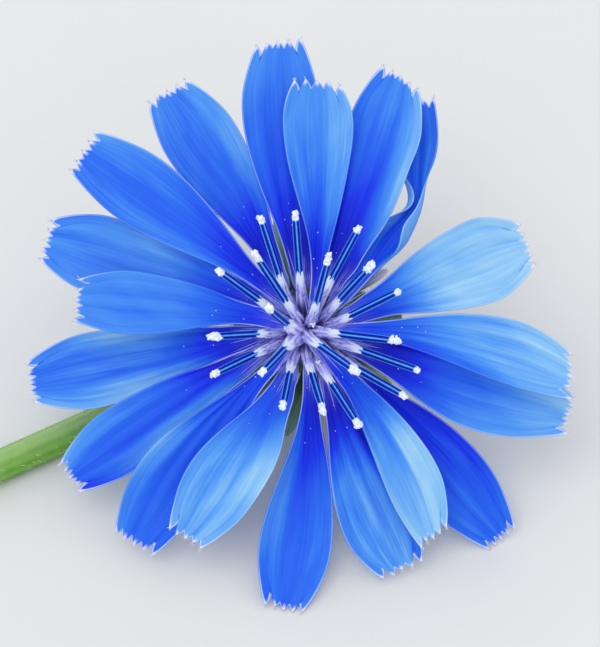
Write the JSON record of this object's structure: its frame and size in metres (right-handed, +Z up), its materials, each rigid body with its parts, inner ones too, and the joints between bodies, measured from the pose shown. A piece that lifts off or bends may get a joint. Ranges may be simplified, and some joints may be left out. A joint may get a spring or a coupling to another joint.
{
  "type": "chicory flower",
  "caption": "Open blue chicory flower head with strap-shaped, toothed petals and upright anther columns, picked with a cut length of stem that it lies on.",
  "frame": {"origin": "on the surface that the flower lies on, at the middle of the stem's flat underside near the head", "axes": "+Z up from the surface; the flower's face looks up and towards -Y, leaning 38 degrees from +Z; +X to the right as one looks into the face, and the stem runs off towards -X"},
  "size_m": [0.0556, 0.0316, 0.0261],
  "materials": {
    "petal": "matte",
    "anther": "satin",
    "bract": "matte",
    "stem": "satin"
  },
  "bodies": {
    "root": {"corolla_01": "petal", "corolla_02": "petal", "corolla_03": "petal", "corolla_04": "petal", "corolla_05": "petal", "corolla_06": "petal", "corolla_07": "petal", "corolla_08": "petal", "corolla_09": "petal", "corolla_10": "petal", "corolla_11": "petal", "corolla_12": "petal", "corolla_13": "petal", "corolla_14": "petal", "corolla_15": "petal", "corolla_16": "petal", "corolla_17": "petal", "corolla_18": "petal", "corolla_19": "petal", "anthers_01": "anther", "anthers_02": "anther", "anthers_03": "anther", "anthers_04": "anther", "anthers_05": "anther", "anthers_06": "anther", "anthers_07": "anther", "anthers_08": "anther", "anthers_09": "anther", "anthers_10": "anther", "anthers_11": "anther", "anthers_12": "anther", "anthers_13": "anther", "anthers_14": "anther", "anthers_15": "anther", "anthers_16": "anther", "anthers_17": "anther", "anthers_18": "anther", "anthers_19": "anther", "inner_bract_1": "bract", "inner_bract_2": "bract", "inner_bract_3": "bract", "inner_bract_4": "bract", "inner_bract_5": "bract", "inner_bract_6": "bract", "inner_bract_7": "bract", "inner_bract_8": "bract", "outer_bract_1": "bract", "outer_bract_2": "bract", "outer_bract_3": "bract", "outer_bract_4": "bract", "outer_bract_5": "bract", "stem": "stem"}
  },
  "joints": []
}
